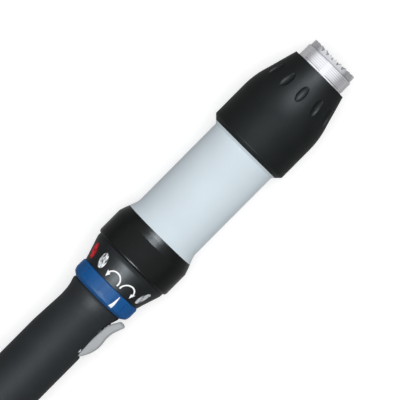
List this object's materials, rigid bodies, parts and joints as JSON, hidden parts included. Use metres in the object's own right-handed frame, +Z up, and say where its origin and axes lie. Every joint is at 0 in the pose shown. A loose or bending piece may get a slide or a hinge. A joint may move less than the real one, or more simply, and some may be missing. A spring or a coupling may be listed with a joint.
{
  "type": "handheld nutrunner",
  "caption": "Straight handheld electric nutrunner with toothed threaded nose, dimpled sleeve, direction ring, indicator windows and start lever.",
  "frame": {"origin": "on the tool axis, at the front face of the threaded nose, inside the bore that centres a head", "axes": "+X along the tool axis and out of the nose, -Y towards the start lever, +Z up through the direction arrows as the tool lies"},
  "size_m": [0.3751, 0.062, 0.062],
  "materials": {
    "bright_steel": "ground and bright",
    "nose_steel": "turned, fine thread",
    "black_screw_steel": "black oxide",
    "bearing_steel": "ground",
    "spring_steel": "drawn",
    "spindle_steel": "ground",
    "transducer_steel": "turned",
    "gauge_foil": "film",
    "circuit_board": "solder mask",
    "sleeve_black": "satin moulded",
    "housing_grey": "satin light grey paint",
    "collar_black": "glossy moulded",
    "cone_black": "glossy moulded",
    "lens_clear": "clear light guide",
    "lens_red": "red light guide",
    "lamp_body": "lamp",
    "core_aluminium": "turned",
    "ring_blue": "satin moulded",
    "grip_black": "fine matt texture",
    "lever_grey": "satin light grey",
    "switch_case": "moulded",
    "plunger_white": "moulded",
    "board_parts": "components",
    "lead_jacket": "wire jacket",
    "cap_black": "satin moulded",
    "inlet_nickel": "nickel plated",
    "insert_black": "moulded",
    "contact_gold": "gold plated",
    "gear_steel": "ground, oiled",
    "core_laminations": "stacked sheets",
    "magnet_dark": "coated",
    "winding_copper": "enamelled wire",
    "encoder_disc": "etched"
  },
  "bodies": {
    "root": {"board_parts": "board_parts", "cap_screws": "black_screw_steel", "clear_lenses": "lens_clear", "control_board": "circuit_board", "core_tube": "core_aluminium", "crown_ring": "bright_steel", "detent_ball": "bearing_steel", "encoder_board": "circuit_board", "gear_bearing": "bearing_steel", "grip": "grip_black", "grip_cap": "cap_black", "indicator_cone": "cone_black", "inlet_contacts": "contact_gold", "inlet_insert": "insert_black", "inlet_nut": "inlet_nickel", "inlet_shell": "inlet_nickel", "lever_pin": "bearing_steel", "lever_spring": "spring_steel", "light_board": "circuit_board", "motor_bearings": "bearing_steel", "motor_front_shield": "core_aluminium", "motor_housing": "housing_grey", "motor_leads": "lead_jacket", "motor_rear_shield": "core_aluminium", "nose_collar": "nose_steel", "nose_flange_screws": "black_screw_steel", "nose_sleeve": "sleeve_black", "rear_collar": "collar_black", "red_lenses": "lens_red", "ring_gear": "gear_steel", "spindle_bearings": "bearing_steel", "spindle_circlip": "spring_steel", "stator_core": "core_laminations", "stator_windings": "winding_copper", "status_lamps": "lamp_body", "strain_gauges": "gauge_foil", "torque_transducer": "transducer_steel", "transducer_board": "circuit_board", "trigger_switch": "switch_case", "web_screws": "black_screw_steel"},
    "spindle": {"output_spindle": "spindle_steel", "slow_carrier": "gear_steel", "slow_planet_pins": "bearing_steel"},
    "fast_stage": {"fast_carrier": "gear_steel", "fast_planet_pins": "bearing_steel", "slow_sun": "gear_steel"},
    "rotor": {"motor_shaft": "bearing_steel", "rotor_core": "core_laminations", "rotor_magnets": "magnet_dark", "fast_sun": "gear_steel", "encoder_disc": "encoder_disc"},
    "ring": {"direction_ring": "ring_blue"},
    "lever": {"start_lever": "lever_grey"},
    "plunger": {"switch_plunger": "plunger_white"},
    "slow_planet_1": {"slow_planet_1": "gear_steel"},
    "slow_planet_2": {"slow_planet_2": "gear_steel"},
    "slow_planet_3": {"slow_planet_3": "gear_steel"},
    "fast_planet_1": {"fast_planet_1": "gear_steel"},
    "fast_planet_2": {"fast_planet_2": "gear_steel"},
    "fast_planet_3": {"fast_planet_3": "gear_steel"}
  },
  "joints": [
    {"name": "rotor_spin", "type": "hinge", "parent": "root", "child": "rotor", "pos_m": [-0.12, 0, 0], "axis": [1, 0, 0], "continuous": true},
    {"name": "fast_stage_spin", "type": "hinge", "parent": "root", "child": "fast_stage", "pos_m": [-0.095, 0, 0], "axis": [1, 0, 0], "continuous": true},
    {"name": "spindle_spin", "type": "hinge", "parent": "root", "child": "spindle", "pos_m": [0, 0, 0], "axis": [1, 0, 0], "continuous": true},
    {"name": "slow_planet_1_spin", "type": "hinge", "parent": "spindle", "child": "slow_planet_1", "pos_m": [-0.085, 0, -0.012], "axis": [1, 0, 0], "continuous": true},
    {"name": "slow_planet_2_spin", "type": "hinge", "parent": "spindle", "child": "slow_planet_2", "pos_m": [-0.085, 0.01039, 0.006], "axis": [1, 0, 0], "continuous": true},
    {"name": "slow_planet_3_spin", "type": "hinge", "parent": "spindle", "child": "slow_planet_3", "pos_m": [-0.085, -0.01039, 0.006], "axis": [1, 0, 0], "continuous": true},
    {"name": "fast_planet_1_spin", "type": "hinge", "parent": "fast_stage", "child": "fast_planet_1", "pos_m": [-0.101, 0, -0.012], "axis": [1, 0, 0], "continuous": true},
    {"name": "fast_planet_2_spin", "type": "hinge", "parent": "fast_stage", "child": "fast_planet_2", "pos_m": [-0.101, 0.01039, 0.006], "axis": [1, 0, 0], "continuous": true},
    {"name": "fast_planet_3_spin", "type": "hinge", "parent": "fast_stage", "child": "fast_planet_3", "pos_m": [-0.101, -0.01039, 0.006], "axis": [1, 0, 0], "continuous": true},
    {"name": "direction_select", "type": "hinge", "parent": "root", "child": "ring", "pos_m": [-0.2141, 0, 0], "axis": [-1, 0, 0], "range_deg": [0, 30]},
    {"name": "lever_press", "type": "hinge", "parent": "root", "child": "lever", "pos_m": [-0.2541, -0.0165, 0], "axis": [0, 0, 1], "range_deg": [0, 4], "stiffness_Nm_per_rad": 0.5, "springref_deg": -2.86, "deforming": ["lever_spring"]},
    {"name": "plunger_press", "type": "slide", "parent": "root", "child": "plunger", "axis": [0, 1, 0], "range_m": [0, 0.0013]}
  ],
  "couplings": [
    {"joint": "fast_stage_spin", "follows": "rotor_spin", "ratio": 0.25},
    {"joint": "spindle_spin", "follows": "rotor_spin", "ratio": 0.0625},
    {"joint": "slow_planet_1_spin", "follows": "rotor_spin", "ratio": -0.1875},
    {"joint": "slow_planet_2_spin", "follows": "rotor_spin", "ratio": -0.1875},
    {"joint": "slow_planet_3_spin", "follows": "rotor_spin", "ratio": -0.1875},
    {"joint": "fast_planet_1_spin", "follows": "rotor_spin", "ratio": -0.75},
    {"joint": "fast_planet_2_spin", "follows": "rotor_spin", "ratio": -0.75},
    {"joint": "fast_planet_3_spin", "follows": "rotor_spin", "ratio": -0.75},
    {"joint": "plunger_press", "follows": "lever_press", "m_per_rad": 0.0178}
  ]
}
